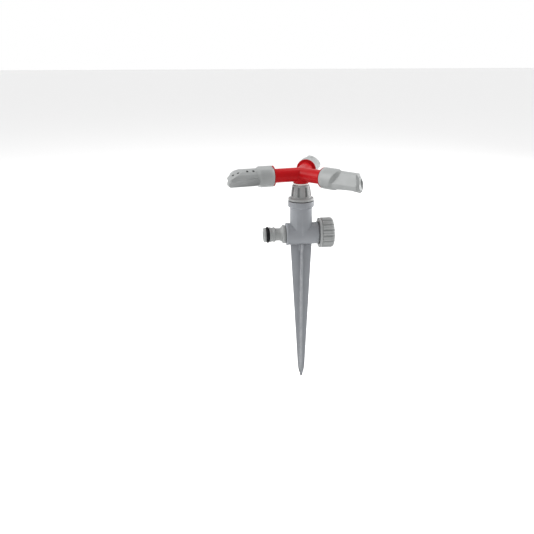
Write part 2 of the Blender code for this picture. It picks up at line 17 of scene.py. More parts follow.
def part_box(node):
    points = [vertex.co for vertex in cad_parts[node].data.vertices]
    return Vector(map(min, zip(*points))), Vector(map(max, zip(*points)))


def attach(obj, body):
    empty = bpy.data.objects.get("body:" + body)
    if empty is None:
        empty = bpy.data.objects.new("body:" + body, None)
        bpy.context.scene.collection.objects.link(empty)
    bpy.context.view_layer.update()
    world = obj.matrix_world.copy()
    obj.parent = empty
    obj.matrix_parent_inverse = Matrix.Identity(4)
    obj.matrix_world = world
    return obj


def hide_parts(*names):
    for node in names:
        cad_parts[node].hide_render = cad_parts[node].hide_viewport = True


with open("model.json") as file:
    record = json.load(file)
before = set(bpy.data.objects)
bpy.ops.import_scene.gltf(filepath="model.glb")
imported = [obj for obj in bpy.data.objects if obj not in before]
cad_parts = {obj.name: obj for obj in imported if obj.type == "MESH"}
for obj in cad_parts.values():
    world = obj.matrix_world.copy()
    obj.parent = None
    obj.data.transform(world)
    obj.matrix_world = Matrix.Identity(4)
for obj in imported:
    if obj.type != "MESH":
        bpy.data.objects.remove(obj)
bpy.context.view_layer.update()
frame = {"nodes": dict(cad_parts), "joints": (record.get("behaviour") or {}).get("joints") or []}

MM = 0.001
STEPS = 96                     # facets round a turned piece
GAP = 0.3                      # clearance between pieces that touch
JOINTS = {joint["name"]: joint for joint in frame["joints"]}
SIDES = ("left", "right", "rear")


def box_mm(node):
    low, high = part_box(node)
    return low / MM, high / MM


# Places that the frame gives
HUB_Z = JOINTS["rotor_spin"]["pos_m"][2] / MM
BARREL_Z = JOINTS["cap_screw"]["pos_m"][2] / MM
ARM_ANGLES = {
    side: math.degrees(math.atan2(JOINTS[f"nozzle_{side}_swivel"]["axis"][1],
                                  JOINTS[f"nozzle_{side}_swivel"]["axis"][0]))
    for side in SIDES
}
TEE_LOW, TEE_HIGH = box_mm("tee_body")
CAP_LOW, CAP_HIGH = box_mm("outlet_cap")
NIPPLE_LOW, NIPPLE_HIGH = box_mm("inlet_nipple")
HOUSING_LOW, HOUSING_HIGH = box_mm("bearing_housing")
SPIKE_LOW = box_mm("ground_spike")[0]

# Tee
BARREL_R = BARREL_Z
BARREL_LEFT = TEE_LOW.x
BARREL_RIGHT = 17.3
BARREL_BORE_R = 6.2
RISER_R = 11.4
RING_R = 13.35
RING_LOW = 40.5
RING_TOP = TEE_HIGH.z
RISER_BORE_R = 7.0
SEAL_SEAT_R = RING_R - 1.0
SEAL_SEAT_LOW = RING_TOP - 2.6
STUB_R = 9.4
STUB_END = TEE_HIGH.x
STUB_THREAD_START = 20.6
PLUG_R = 3.4
PLUG_TOP = 3.5

# Threads
PITCH = 2.5
THREAD_DEPTH = 1.0
CREST_WIDTH = 0.55
BASE_WIDTH = 1.25
THREAD_TURNS = 2.25

# Outlet cap
CAP_LEFT = CAP_LOW.x
CAP_RIGHT = CAP_HIGH.x
CAP_R = 15.75
CAP_CEILING = 31.4
CAP_FLUTES = 16
FLUTE_DEPTH = 1.35
FLUTE_SAMPLES = 14             # points round the cap in each flute
GROOVE_SPREAD = 0.15           # of a flute
FINE_GROOVE_SPREAD = 0.08
FINE_GROOVE_SHARE = 0.3        # of the flute's depth

# Inlet nipple
NIPPLE_TIP = NIPPLE_LOW.x
NIPPLE_END = NIPPLE_HIGH.x
NIPPLE_BORE_R = 4.2
NIPPLE_TIP_R = 7.4
COLLAR_R = 7.8
NECK_R = 6.55
NIPPLE_FLANGE_R = 9.6
SOCKET_R = 8.6
SOCKET_DEPTH = 8.7
COLLAR_RIDGES = (1.3, 1.2)     # widths of the collar's two ridges
COLLAR_END = -27.9
NECK_END = -22.4
FLARE_END = -20.3
SEAT_STEP = -17.1              # the flange's step down to the part that meets the tee
O_RING_X = -35.0
O_RING_R = 6.87                # to the middle of its cord
O_RING_CORD_R = 1.5

# Ground spike
SPIKE_TIP = SPIKE_LOW.z
SPIKE_SHOULDER = -137.5
SPIKE_TOP_HALF = 11.1
SPIKE_LOW_HALF = 3.7
SIDE_RIB_TOP_HALF = 6.6
RIB_THICK = 2.4

# Bearing housing
FLANGE_R = 13.0
FLANGE_LOW = 47.1
FLANGE_TOP = 49.7
CONE_LOW_R = 10.35
CONE_TOP_R = 8.6
CONE_TOP = HOUSING_HIGH.z
SPIGOT_R = 8.5
SPIGOT_LOW = HOUSING_LOW.z
SPIGOT_NECK_R = SPIGOT_R + 0.6
HEAD_SEAL_R = (SPIGOT_NECK_R + SEAL_SEAT_R) / 2
HEAD_SEAL_CORD_R = (SEAL_SEAT_R - SPIGOT_NECK_R) / 2 - GAP
HEAD_THREAD_START = 36.3
BEARING_R = 5.6
CHAMBER_R = 7.4
CHAMBER_TOP = 45.1
SLOT_COUNT = 8
SLOT_WIDTH = 2.7
SLOT_LOW = 51.5
SLOT_TOP = 61.7
SLOT_DEPTH = 2.0

# Rotor
TUBE_R = 7.0
TUBE_BORE_R = 4.6
HUB_BOSS_R = 8.05
HUB_BOSS_LOW = 64.9
CHAMBER_BALL_R = 5.3
ARM_FLANGE_IN = 29.2
ARM_FLANGE_OUT = 30.1
ARM_FLANGE_R = 10.3
NOZZLE_SPIGOT_R = 7.5
SPIGOT_END = 40.6
SPIGOT_BEAD = 0.8
GROOVE_LOW = 32.6              # groove of the nozzle's O-ring
GROOVE_HIGH = 35.0
SPINDLE_R = 5.2
SPINDLE_BORE_R = 3.0
SPINDLE_TOP = 67.7

# Spray nozzle: u along its arm, v sideways, w up
NOZZLE_IN = 30.4
NOZZLE_END = 76.5
NOZZLE_COLLAR_R = 10.5
NOZZLE_BORE_R = 8.1
CAVITY_END = 71.5
SHOULDER_START = 44.0
SHOULDER_LENGTH = 3.0
SLOPE_START = 60.5             # where the top starts to fall towards the tip
SLOPE_TOP = 9.2
SLOPE = 0.5
TOP_LEAN = (0.2, 0.98)         # which way the sloping top faces, as (v, w)
TIP_START = 73.6
TIP_SHRINK = 0.42
TIP_DROP = 2.0                 # how far below the axis the tip closes in
END_SKEW = 3.2                 # how much shorter the nozzle is on its far side
END_SKEW_START = 66.0
JET_R = 0.9
JET_ANGLE = 55.0
JET_PLACES = (50.4, 56.6, 64.8, 70.4)
JET_SURFACE_R = 7.4            # where the jets leave the nozzle, before its top slopes
JET_SURFACE_SLOPE = 0.32
COUNTERSINK = 0.4
JET_REACH = 20.0               # well outside the nozzle
JET_STEPS = 24
NOZZLE_SWIVEL = {"left": 0.0, "right": -80.0, "rear": 45.0}
NOZZLE_SAMPLES = 192
NOZZLE_OUTLINE = (
    (-3.0, 8.4), (1.5, 8.6), (5.5, 6.8), (8.2, 3.9), (9.0, 1.6), (8.9, -2.6),
    (7.7, -6.9), (4.5, -8.2), (1.0, -8.7), (-9.0, -1.9), (-8.9, 2.6), (-6.6, 6.4),
)
PANEL_ANGLE = 237.0            # which way the flat panel of the outline faces
PANEL_SET_BACK = 2.0
PANEL_SLANT = 5.5              # lean of the panel's shoulder along the arm
SCOOP_R = 5.0
SCOOP_AXIS = (10.3, -2.6)
SCOOP_START = 45.0
SCOOP_DIP = 9.0                # degrees that the scoop leans down towards the tip

# Camera: the angle and framing of a catalogue picture of the object
FRAME_PX = 534
CAMERA_AZIMUTH = -9.5
CAMERA_ELEVATION = 10.4        # above the rotor's hub
CAMERA_DISTANCE = 660.0        # from the rotor's hub
CAMERA_PITCH = 18.56
CAMERA_LENS = 43.64
SIDE_OFFSET_PX = 34.0

ALONG_X = Matrix.Translation((0, 0, BARREL_Z)) @ Matrix.Rotation(math.radians(90), 4, "Y")


# ---------------------------------------------------------------- mesh helpers

def rounded(profile, radius=0.3, arc=3):
    """Round a profile's corners.  A third number on a point is that corner's own radius."""
    closed = profile[0][0] > 0 or profile[-1][0] > 0
    count = len(profile)
    result = []
    for i, point in enumerate(profile):
        corner = Vector(point[:2])
        size = point[2] if len(point) > 2 else radius
        if size <= 0 or (not closed and i in (0, count - 1)):
            result.append(tuple(corner))
            continue
        before = Vector(profile[i - 1][:2]) - corner
        after = Vector(profile[(i + 1) % count][:2]) - corner
        turn = math.pi - before.angle(after)
        if turn < math.radians(8):
            result.append(tuple(corner))
            continue
        reach = min(size * math.tan(turn / 2), 0.46 * before.length, 0.46 * after.length)
        start = corner + before.normalized() * reach
        end = corner + after.normalized() * reach
        for step in range(arc + 1):
            t = step / arc
            result.append(tuple(start * (1 - t) ** 2 + corner * 2 * t * (1 - t) + end * t * t))
    return result


def turned(profile, steps=STEPS):
    """Spin a profile of (radius, height) points round Z."""
    form = bmesh.new()
    verts = [form.verts.new((radius, 0, height)) for radius, height in profile]
    pairs = list(zip(verts, verts[1:]))
    if profile[0][0] > 0 or profile[-1][0] > 0:
        pairs.append((verts[-1], verts[0]))
    edges = [form.edges.new(pair) for pair in pairs]
    bmesh.ops.spin(form, geom=verts + edges, axis=(0, 0, 1), cent=(0, 0, 0),
                   angle=math.tau, steps=steps, use_merge=True)
    bmesh.ops.remove_doubles(form, verts=form.verts, dist=1e-4)
    bmesh.ops.recalc_face_normals(form, faces=form.faces)
    return form


def lofted(rings):
    """Skin a row of equal closed rings and cap its two ends."""
    form = bmesh.new()
    rows = [[form.verts.new(point) for point in ring] for ring in rings]
    count = len(rows[0])
    for low, high in zip(rows, rows[1:]):
        for i in range(count):
            j = (i + 1) % count
            form.faces.new((low[i], low[j], high[j], high[i]))
    form.faces.new(rows[0])
    form.faces.new(rows[-1])
    bmesh.ops.recalc_face_normals(form, faces=form.faces)
    return form


def cylinder(radius, low, high, steps=STEPS):
    return turned([(0, low), (radius, low), (radius, high), (0, high)], steps)


def place(name, form, matrix=None):
    """Turn a form in millimetres into an object in the row frame."""
    if matrix is not None:
        bmesh.ops.transform(form, matrix=matrix, verts=form.verts)
    bmesh.ops.scale(form, vec=(MM, MM, MM), verts=form.verts)
    bmesh.ops.recalc_face_normals(form, faces=form.faces)
    mesh = bpy.data.meshes.new(name)
    form.to_mesh(mesh)
    form.free()
    thing = bpy.data.objects.new(name, mesh)
    bpy.context.scene.collection.objects.link(thing)
    return thing


def combine(thing, form, operation, matrix=None):
    tool = place("tool", form, matrix)
    change = thing.modifiers.new("change", "BOOLEAN")
    change.operation = operation
    change.solver = "EXACT"
    change.object = tool
    bpy.context.view_layer.update()
    graph = bpy.context.evaluated_depsgraph_get()
    result = bpy.data.meshes.new_from_object(thing.evaluated_get(graph))
    thing.modifiers.remove(change)
    old = thing.data
    thing.data = result
    bpy.data.meshes.remove(old)
    bpy.data.objects.remove(tool, do_unlink=True)


def cut(thing, form, matrix=None):
    combine(thing, form, "DIFFERENCE", matrix)


def join(thing, form, matrix=None):
    combine(thing, form, "UNION", matrix)


def soften(thing, width, keep=None, min_angle=32, segments=3):
    """Round an object's hard edges, or those of them that keep() picks by their middle."""
    form = bmesh.new()
    form.from_mesh(thing.data)
    bmesh.ops.remove_doubles(form, verts=form.verts, dist=1e-7)
    limit = math.radians(min_angle)
    hard = []
    for edge in form.edges:
        if len(edge.link_faces) != 2 or edge.calc_face_angle(0) < limit:
            continue
        middle = (edge.verts[0].co + edge.verts[1].co) / (2 * MM)
        if keep is None or keep(middle):
            hard.append(edge)
    bmesh.ops.bevel(form, geom=hard, offset=width * MM, segments=segments, profile=0.5,
                    affect="EDGES", clamp_overlap=True)
    form.to_mesh(thing.data)
    form.free()


def finish_shading(thing, angle=38):
    thing.data.shade_smooth()
    thing.data.set_sharp_from_angle(angle=math.radians(angle))


def thread(root_r, start, outward=True):
    """One helical ridge round Z.  It stands on root_r, outward or inward."""
    side = 1 if outward else -1
    total = int(STEPS * THREAD_TURNS)
    fade_steps = STEPS / 6
    rings = []
    for i in range(total + 1):
        angle = math.tau * i / STEPS
        height = start + PITCH * i / STEPS
        fade = min(1.0, i / fade_steps, (total - i) / fade_steps)
        crest_r = root_r + side * (THREAD_DEPTH * fade - 0.15 * (1 - fade))
        base_r = root_r - side * 0.5
        section = (
            (base_r, -BASE_WIDTH / 2), (crest_r, -CREST_WIDTH / 2),
            (crest_r, CREST_WIDTH / 2), (base_r, BASE_WIDTH / 2),
        )
        rings.append([
            (radius * math.cos(angle), radius * math.sin(angle), height + lift)
            for radius, lift in section
        ])
    return lofted(rings)


def ease(value):
    value = min(1.0, max(0.0, value))
    return value * value * (3 - 2 * value)


# ---------------------------------------------------------------- materials

def add_noise(tree, coordinates, scale, detail=3.0, roughness=0.5):
    noise = tree.nodes.new("ShaderNodeTexNoise")
    noise.inputs["Scale"].default_value = scale
    noise.inputs["Detail"].default_value = detail
    noise.inputs["Roughness"].default_value = roughness
    tree.links.new(coordinates, noise.inputs["Vector"])
    return noise.outputs["Fac"]


def remap(tree, value, low, high, from_low=0.3, from_high=0.7):
    node = tree.nodes.new("ShaderNodeMapRange")
    node.inputs["From Min"].default_value = from_low
    node.inputs["From Max"].default_value = from_high
    node.inputs["To Min"].default_value = low
    node.inputs["To Max"].default_value = high
    tree.links.new(value, node.inputs["Value"])
    return node.outputs["Result"]


def mixed(tree, factor, low, high):
    node = tree.nodes.new("ShaderNodeMix")
    node.data_type = "RGBA"
    tree.links.new(factor, node.inputs["Factor"])
    for end, value in (("A", low), ("B", high)):
        spot = [s for s in node.inputs if s.name == end and s.type == "RGBA"][0]
        if isinstance(value, bpy.types.NodeSocket):
            tree.links.new(value, spot)
        else:
            spot.default_value = (*value, 1.0)
    return [s for s in node.outputs if s.type == "RGBA"][0]


def shaded(colour, amount):
    return tuple(min(1.0, c * amount) for c in colour)


def moulded_plastic(name, colour, roughness, grain, wear, shine=0.5):
    """Injection-moulded plastic: cloudy pigment, spark-eroded grain, rubbed edges, scuffs."""
    made = bpy.data.materials.new(name)
    made.use_nodes = True
    tree = made.node_tree
    shader = tree.nodes["Principled BSDF"]
    where = tree.nodes.new("ShaderNodeTexCoord").outputs["Object"]
    clouds = remap(tree, add_noise(tree, where, 55.0, 4.0), 0.0, 1.0)
    base = mixed(tree, clouds, shaded(colour, 0.93), shaded(colour, 1.06))
    speck = remap(tree, add_noise(tree, where, 1900.0, 2.0), 0.0, 0.35, 0.62, 0.8)
    base = mixed(tree, speck, base, shaded(colour, 0.8))
    edge = tree.nodes.new("ShaderNodeNewGeometry").outputs["Pointiness"]
    rub_noise = remap(tree, add_noise(tree, where, 240.0, 5.0), 0.2, 1.0)
    rubbed = remap(tree, edge, 0.0, wear, 0.52, 0.6)
    rub = tree.nodes.new("ShaderNodeMath")
    rub.operation = "MULTIPLY"
    tree.links.new(rubbed, rub.inputs[0])
    tree.links.new(rub_noise, rub.inputs[1])
    pale = tuple(c + (1 - c) * 0.35 for c in colour)
    base = mixed(tree, rub.outputs[0], base, pale)
    tree.links.new(base, shader.inputs["Base Color"])
    rough_map = remap(tree, add_noise(tree, where, 130.0, 6.0, 0.65),
                      roughness - 0.06, roughness + 0.09)
    tree.links.new(rough_map, shader.inputs["Roughness"])
    fine = add_noise(tree, where, grain, 2.0)
    bump = tree.nodes.new("ShaderNodeBump")
    bump.inputs["Strength"].default_value = 0.16
    bump.inputs["Distance"].default_value = 0.00006
    tree.links.new(fine, bump.inputs["Height"])
    flow = add_noise(tree, where, 90.0, 3.0)
    sink = tree.nodes.new("ShaderNodeBump")
    sink.inputs["Strength"].default_value = 0.12
    sink.inputs["Distance"].default_value = 0.0004
    tree.links.new(flow, sink.inputs["Height"])
    tree.links.new(bump.outputs["Normal"], sink.inputs["Normal"])
    tree.links.new(sink.outputs["Normal"], shader.inputs["Normal"])
    shader.inputs["Specular IOR Level"].default_value = shine
    return made


def rubber(name):
    """Black sealing rubber with a dusty bloom and a fine mould grain."""
    made = bpy.data.materials.new(name)
    made.use_nodes = True
    tree = made.node_tree
    shader = tree.nodes["Principled BSDF"]
    where = tree.nodes.new("ShaderNodeTexCoord").outputs["Object"]
    bloom = remap(tree, add_noise(tree, where, 420.0, 5.0), 0.0, 1.0, 0.45, 0.8)
    tree.links.new(mixed(tree, bloom, (0.004, 0.004, 0.005), (0.014, 0.014, 0.015)),
                   shader.inputs["Base Color"])
    tree.links.new(remap(tree, add_noise(tree, where, 700.0, 4.0), 0.38, 0.62),
                   shader.inputs["Roughness"])
    shader.inputs["Specular IOR Level"].default_value = 0.06
    bump = tree.nodes.new("ShaderNodeBump")
    bump.inputs["Strength"].default_value = 0.25
    bump.inputs["Distance"].default_value = 0.00008
    tree.links.new(add_noise(tree, where, 3200.0, 2.0), bump.inputs["Height"])
    tree.links.new(bump.outputs["Normal"], shader.inputs["Normal"])
    return made


BODY = moulded_plastic("body_grey_plastic", (0.183, 0.192, 0.206), 0.45, 3600.0, 0.35,
                       shine=0.35)
FITTING = moulded_plastic("light_grey_plastic", (0.205, 0.212, 0.211), 0.42, 3200.0, 0.4,
                          shine=0.35)
RED = moulded_plastic("red_plastic", (0.30, 0.001, 0.003), 0.34, 5200.0, 0.03,
                      shine=0.1)
SLIP = moulded_plastic("slip_washer_plastic", (0.6, 0.6, 0.57), 0.35, 4000.0, 0.2)
RUBBER = rubber("seal_rubber")


def present(thing, body, slot, material, *nodes):
    """Give a finished piece its material and its body, and hide the node it stands for. The slot
    is not used.
    """
    thing.data.materials.clear()
    thing.data.materials.append(material)
    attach(thing, body)
    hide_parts(*nodes)
    return thing


# ---------------------------------------------------------------- pieces

def tee_body():
    barrel = turned(rounded([
        (0, BARREL_LEFT), (BARREL_R, BARREL_LEFT, 0.8), (BARREL_R, BARREL_LEFT + 2.2, 0.2),
        (BARREL_R - 0.25, BARREL_LEFT + 2.5, 0.2), (BARREL_R - 0.25, BARREL_RIGHT - 1.6, 0.2),
        (BARREL_R, BARREL_RIGHT - 1.3, 0.2), (BARREL_R, BARREL_RIGHT, 0.4),
        (STUB_R, BARREL_RIGHT, 0.4), (STUB_R, STUB_END, 0.7), (0, STUB_END),
    ]))
    tee = place("tee_fine", barrel, ALONG_X)
    riser = turned(rounded([
        (0, BARREL_Z), (RISER_R, BARREL_Z, 0), (RISER_R, RING_LOW - 1.4, 0.5),
        (RING_R - 0.9, RING_LOW, 0.3), (RING_R, RING_LOW + 0.5, 0.4),
        (RING_R, RING_TOP, 0.6), (SEAL_SEAT_R - 0.3, RING_TOP, 0), (0, RING_TOP),
    ]))
    join(tee, riser, Matrix.Rotation(math.radians(1.7), 4, "Z"))
    join(tee, thread(STUB_R, STUB_THREAD_START), ALONG_X)
    socket_end = BARREL_LEFT + SOCKET_DEPTH
    waterway = turned([
        (0, BARREL_LEFT - 5), (SOCKET_R, BARREL_LEFT - 5), (SOCKET_R, socket_end),
        (BARREL_BORE_R, socket_end), (BARREL_BORE_R, STUB_END + 5), (0, STUB_END + 5),
    ])
    cut(tee, waterway, ALONG_X @ Matrix.Rotation(math.radians(1.1), 4, "Z"))
    female_r = SPIGOT_R + THREAD_DEPTH + GAP
    cut(tee, turned([
        (0, BARREL_Z - 1.3), (RISER_BORE_R, BARREL_Z - 1.3), (RISER_BORE_R, SPIGOT_LOW - 2.5),
        (female_r, SPIGOT_LOW - 1.5), (female_r, SEAL_SEAT_LOW),
        (SEAL_SEAT_R, SEAL_SEAT_LOW), (SEAL_SEAT_R, RING_TOP + 5), (0, RING_TOP + 5),
    ]), Matrix.Rotation(math.radians(0.6), 4, "Z"))
    join(tee, thread(female_r, HEAD_THREAD_START + PITCH / 2, outward=False))
    cut(tee, cylinder(PLUG_R + GAP, -5, PLUG_TOP + GAP, 48))
    finish_shading(tee)
    return present(tee, "base", "body_plastic", BODY, "tee_body")


def spike_rib(top_half, low_half):
    rows = [(6.0, top_half), (0.0, top_half)]
    straight = 10
    for i in range(1, straight + 1):
        part = i / straight
        rows.append((SPIKE_SHOULDER * part, top_half + (low_half - top_half) * part))
    point_steps = 14
    for i in range(1, point_steps + 1):
        part = i / point_steps
        height = SPIKE_SHOULDER + (SPIKE_TIP - SPIKE_SHOULDER) * part
        rows.append((height, 0.5 + (low_half - 0.5) * (1 - part ** 1.8)))
    outline = [(half, height) for height, half in rows]
    outline += [(-half, height) for height, half in reversed(rows)]
    rings = [
        [(across, side * RIB_THICK / 2, height) for across, height in outline]
        for side in (-1, 1)
    ]
    return lofted(rings)


def ground_spike():
    spike = place("spike_fine", spike_rib(SPIKE_TOP_HALF, SPIKE_LOW_HALF))
    join(spike, spike_rib(SIDE_RIB_TOP_HALF, SPIKE_LOW_HALF - 0.1),
         Matrix.Rotation(math.radians(90), 4, "Z"))
    cut(spike, cylinder(BARREL_R + GAP, -30, 30), ALONG_X)
    soften(spike, 0.3)
    join(spike, turned(rounded([
        (0, -8), (PLUG_R, -6), (PLUG_R, PLUG_TOP, 0.5), (0, PLUG_TOP),
    ])))
    finish_shading(spike)
    return present(spike, "base", "body_plastic", BODY, "ground_spike")


def inlet_nipple():
    seat = BARREL_LEFT - GAP
    half = O_RING_CORD_R + 0.3
    floor_r = NIPPLE_TIP_R - 2.3
    waist_r = COLLAR_R - 0.45
    first_end = O_RING_X + half + COLLAR_RIDGES[0]
    second_start = COLLAR_END - COLLAR_RIDGES[1]
    nipple = turned(rounded([
        (NIPPLE_BORE_R, NIPPLE_TIP, 0.5), (NIPPLE_TIP_R, NIPPLE_TIP, 1.2),
        (NIPPLE_TIP_R, O_RING_X - half, 0.3), (floor_r, O_RING_X - half, 0.3),
        (floor_r, O_RING_X + half, 0.3), (COLLAR_R, O_RING_X + half, 0.35),
        (COLLAR_R, first_end, 0.25), (waist_r, first_end + 0.3, 0.2),
        (waist_r, second_start - 0.3, 0.2), (COLLAR_R, second_start, 0.25),
        (COLLAR_R, COLLAR_END, 0.4), (NECK_R, COLLAR_END + 1.0, 0.5), (NECK_R, NECK_END, 1.5),
        (NIPPLE_FLANGE_R - 1.6, FLARE_END, 0.8), (NIPPLE_FLANGE_R, FLARE_END + 0.7, 0.5),
        (NIPPLE_FLANGE_R, SEAT_STEP - 0.3, 0.4), (NIPPLE_FLANGE_R - 0.8, SEAT_STEP, 0.2),
        (NIPPLE_FLANGE_R - 0.8, seat, 0.1),
        (SOCKET_R - GAP, seat, 0.1), (SOCKET_R - GAP, NIPPLE_END, 0.3),
        (NIPPLE_BORE_R, NIPPLE_END, 0.3),
    ]))
    thing = place("nipple_fine", nipple, ALONG_X)
    finish_shading(thing)
    return present(thing, "base", "fitting_plastic", FITTING, "inlet_nipple")


def ring_seal(name, body, centre_r, cord_r, height, matrix, node):
    """An O-ring with the thin flash line that its mould leaves round its outside."""
    profile = []
    corners = 28
    for i in range(corners):
        angle = math.tau * i / corners
        flash = 0.05 if i == 0 else 0.0
        profile.append((centre_r + (cord_r + flash) * math.cos(angle),
                        height + cord_r * math.sin(angle)))
    thing = place(name, turned(profile), matrix)
    finish_shading(thing, 60)
    return present(thing, body, "seal_rubber", RUBBER, node)


def cap_row(x, radius, depth):
    """A ring of the cap's outside: deep grooves, with a shallow one between each two."""
    points = []
    samples = CAP_FLUTES * FLUTE_SAMPLES
    for i in range(samples):
        angle = math.tau * i / samples
        phase = (i / FLUTE_SAMPLES + 0.5) % 1.0 - 0.5
        between = abs(phase) - 0.5
        r = radius - depth * math.exp(-(phase / GROOVE_SPREAD) ** 2)
        r -= depth * FINE_GROOVE_SHARE * math.exp(-(between / FINE_GROOVE_SPREAD) ** 2)
        points.append((r * math.cos(angle), r * math.sin(angle), x))
    return points


def outlet_cap():
    rim = CAP_R - 0.15
    rows = [
        (CAP_LEFT, rim - 0.6, 0), (CAP_LEFT + 0.12, rim - 0.25, 0), (CAP_LEFT + 0.4, rim, 0),
        (CAP_LEFT + 1.8, rim, 0), (CAP_LEFT + 2.05, rim - 0.15, 0),
        (CAP_LEFT + 2.2, rim - 0.7, 0), (CAP_LEFT + 2.5, rim - 0.7, 0.1),
        (CAP_LEFT + 2.7, CAP_R - 0.2, FLUTE_DEPTH * 0.8),
        (CAP_LEFT + 3.0, CAP_R, FLUTE_DEPTH), (CAP_RIGHT - 2.6, CAP_R, FLUTE_DEPTH),
        (CAP_RIGHT - 1.9, CAP_R - 0.12, FLUTE_DEPTH), (CAP_RIGHT - 1.2, CAP_R - 0.5, FLUTE_DEPTH),
        (CAP_RIGHT - 0.6, CAP_R - 1.05, FLUTE_DEPTH * 0.8),
        (CAP_RIGHT - 0.2, CAP_R - 1.6, FLUTE_DEPTH * 0.4), (CAP_RIGHT, CAP_R - 2.3, 0),
        (CAP_RIGHT, CAP_R - 3.4, 0), (CAP_RIGHT - 0.15, CAP_R - 3.7, 0),
        (CAP_RIGHT - 0.6, CAP_R - 3.9, 0), (CAP_RIGHT - 0.6, 2.6, 0),
        (CAP_RIGHT - 0.5, 2.3, 0), (CAP_RIGHT - 0.5, 0.8, 0),
    ]
    cap = place("cap_fine", lofted([cap_row(*row) for row in rows]), ALONG_X)
    female_r = STUB_R + THREAD_DEPTH + GAP
    cut(cap, turned([
        (0, CAP_LEFT - 5), (female_r + 1.4, CAP_LEFT - 5), (female_r + 1.4, CAP_LEFT + 0.6),
        (female_r, CAP_LEFT + 2.0), (female_r, CAP_CEILING), (0, CAP_CEILING),
    ]), ALONG_X)
    join(cap, thread(female_r, STUB_THREAD_START + PITCH / 2, outward=False), ALONG_X)
    finish_shading(cap)
    return present(cap, "cap", "fitting_plastic", FITTING, "outlet_cap")


def slot_cutter():
    radius = SLOT_WIDTH / 2
    half = (SLOT_TOP - SLOT_LOW) / 2 - radius
    outline = []
    turns = 18
    for end in (1, -1):
        for i in range(turns + 1):
            angle = math.pi * i / turns + (0 if end > 0 else math.pi)
            outline.append((radius * math.cos(angle), end * half + radius * math.sin(angle)))
    rings = []
    for x, grow in ((-SLOT_DEPTH, 0.78), (-SLOT_DEPTH + 0.25, 0.92), (0.0, 1.0), (6.0, 1.1)):
        rings.append([(x, y * grow, z - (1 - grow) * radius * (1 if z > 0 else -1))
                      for y, z in outline])
    return lofted(rings)


def bearing_housing():
    cone_height = CONE_TOP - FLANGE_TOP
    bulge = 0.35
    cone = []
    rows = 12
    for i in range(rows):
        part = i / rows
        radius = CONE_LOW_R + (CONE_TOP_R - CONE_LOW_R) * part + bulge * math.sin(math.pi * part)
        cone.append((radius, FLANGE_TOP + cone_height * part))
    profile = [
        (CHAMBER_R, SPIGOT_LOW), (SPIGOT_R, SPIGOT_LOW), (SPIGOT_R, FLANGE_LOW - 3.2),
        (SPIGOT_NECK_R, FLANGE_LOW - 2.6), (SPIGOT_NECK_R, FLANGE_LOW, 0.1),
        (FLANGE_R, FLANGE_LOW, 0.4), (FLANGE_R, FLANGE_TOP, 0.7),
    ]
    profile += cone
    profile += [(CONE_TOP_R, CONE_TOP, 0.5), (BEARING_R, CONE_TOP, 0.3),
                (BEARING_R, CHAMBER_TOP, 0.2), (CHAMBER_R, CHAMBER_TOP, 0.2)]
    housing = place("housing_fine", turned(rounded(profile)))
    lean = math.atan2(CONE_LOW_R - CONE_TOP_R, cone_height)
    middle = (SLOT_LOW + SLOT_TOP) / 2
    wall_r = CONE_LOW_R + (CONE_TOP_R - CONE_LOW_R) * (middle - FLANGE_TOP) / cone_height
    for i in range(SLOT_COUNT):
        turn = math.radians(360 / SLOT_COUNT * (i + 0.5))
        seat = (Matrix.Rotation(turn, 4, "Z") @ Matrix.Translation((wall_r + bulge, 0, middle))
                @ Matrix.Rotation(-lean, 4, "Y"))
        cut(housing, slot_cutter(), seat)
    join(housing, thread(SPIGOT_R, HEAD_THREAD_START))
    finish_shading(housing)
    return present(housing, "head", "fitting_plastic", FITTING, "bearing_housing")


def arm_matrix(angle):
    return (Matrix.Translation((0, 0, HUB_Z)) @ Matrix.Rotation(math.radians(angle), 4, "Z")
            @ Matrix.Rotation(math.radians(90), 4, "Y"))


def arm_form():
    groove_r = NOZZLE_SPIGOT_R - 1.5
    bead_r = NOZZLE_SPIGOT_R + SPIGOT_BEAD
    return turned(rounded([
        (0, -3), (TUBE_R - 2.0, -3, 0), (TUBE_R, 0, 0), (TUBE_R, ARM_FLANGE_IN, 1.2),
        (ARM_FLANGE_R, ARM_FLANGE_IN, 0.35), (ARM_FLANGE_R, ARM_FLANGE_OUT, 0.35),
        (NOZZLE_SPIGOT_R, ARM_FLANGE_OUT, 0.2), (NOZZLE_SPIGOT_R, GROOVE_LOW, 0.1),
        (groove_r, GROOVE_LOW, 0.2), (groove_r, GROOVE_HIGH, 0.2),
        (NOZZLE_SPIGOT_R, GROOVE_HIGH, 0.1), (NOZZLE_SPIGOT_R, SPIGOT_END - 2.6, 0.3),
        (bead_r, SPIGOT_END - 2.0, 0.3), (bead_r, SPIGOT_END - 1.2, 0.3),
        (NOZZLE_SPIGOT_R - 0.4, SPIGOT_END, 0.3),
        (0, SPIGOT_END),
    ]))


